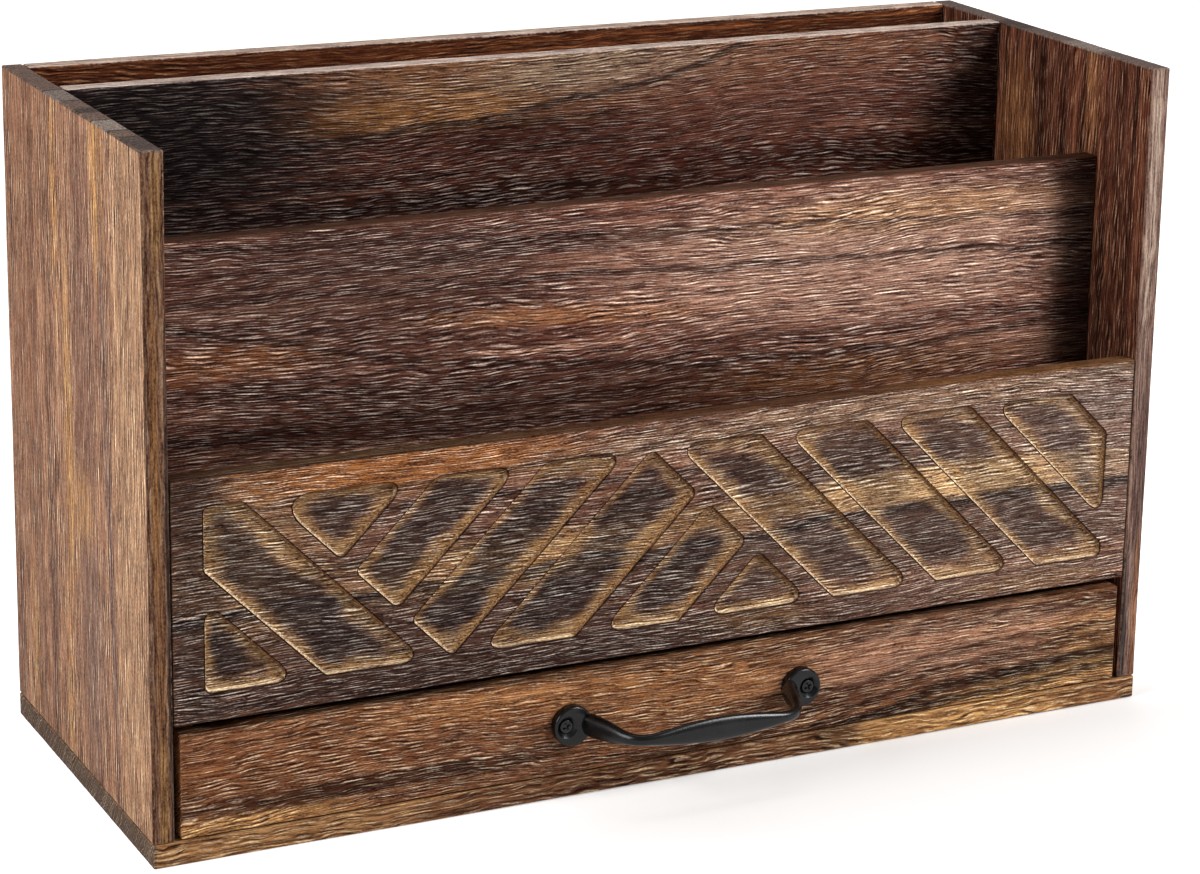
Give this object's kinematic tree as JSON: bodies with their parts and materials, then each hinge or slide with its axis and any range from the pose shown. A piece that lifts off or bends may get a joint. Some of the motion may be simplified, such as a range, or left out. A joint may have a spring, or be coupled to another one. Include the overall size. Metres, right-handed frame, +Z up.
{
  "type": "envelope sorter with drawer",
  "caption": "Open-topped wooden desk sorter with stepped letter slots behind a carved slatted front, over a shallow full-width drawer with a black bow pull.",
  "frame": {"origin": "middle of the bottom board's underside, where the sorter stands", "axes": "+X to the right seen from the front, +Y from front to back, +Z up"},
  "size_m": [0.4, 0.1844, 0.25],
  "materials": {
    "base_wood": "torched and brushed, oiled",
    "side_wood": "torched and brushed, oiled",
    "back_wood": "torched and brushed, oiled",
    "panel_wood": "torched and brushed, carved pockets",
    "divider_wood": "torched and brushed, oiled",
    "drawer_wood": "torched and brushed, oiled",
    "inner_wood": "sanded, oiled",
    "floor_wood": "sanded",
    "dowel_wood": "turned beech",
    "black_iron": "satin black",
    "black_screw": "satin black"
  },
  "bodies": {
    "case": {"bottom_board": "base_wood", "left_side": "side_wood", "right_side": "side_wood", "back_panel": "back_wood", "drawer_shelf": "inner_wood", "front_panel": "panel_wood", "front_divider": "divider_wood", "rear_divider": "divider_wood", "base_dowels": "dowel_wood", "left_side_dowels": "dowel_wood", "right_side_dowels": "dowel_wood"},
    "drawer": {"drawer_front": "drawer_wood", "drawer_left_side": "inner_wood", "drawer_right_side": "inner_wood", "drawer_back": "inner_wood", "drawer_floor": "floor_wood", "drawer_dowels": "dowel_wood", "pull_handle": "black_iron", "handle_screws": "black_screw"}
  },
  "joints": [
    {"name": "drawer_slide", "type": "slide", "parent": "case", "child": "drawer", "axis": [0, -1, 0], "range_m": [0, 0.115]}
  ]
}
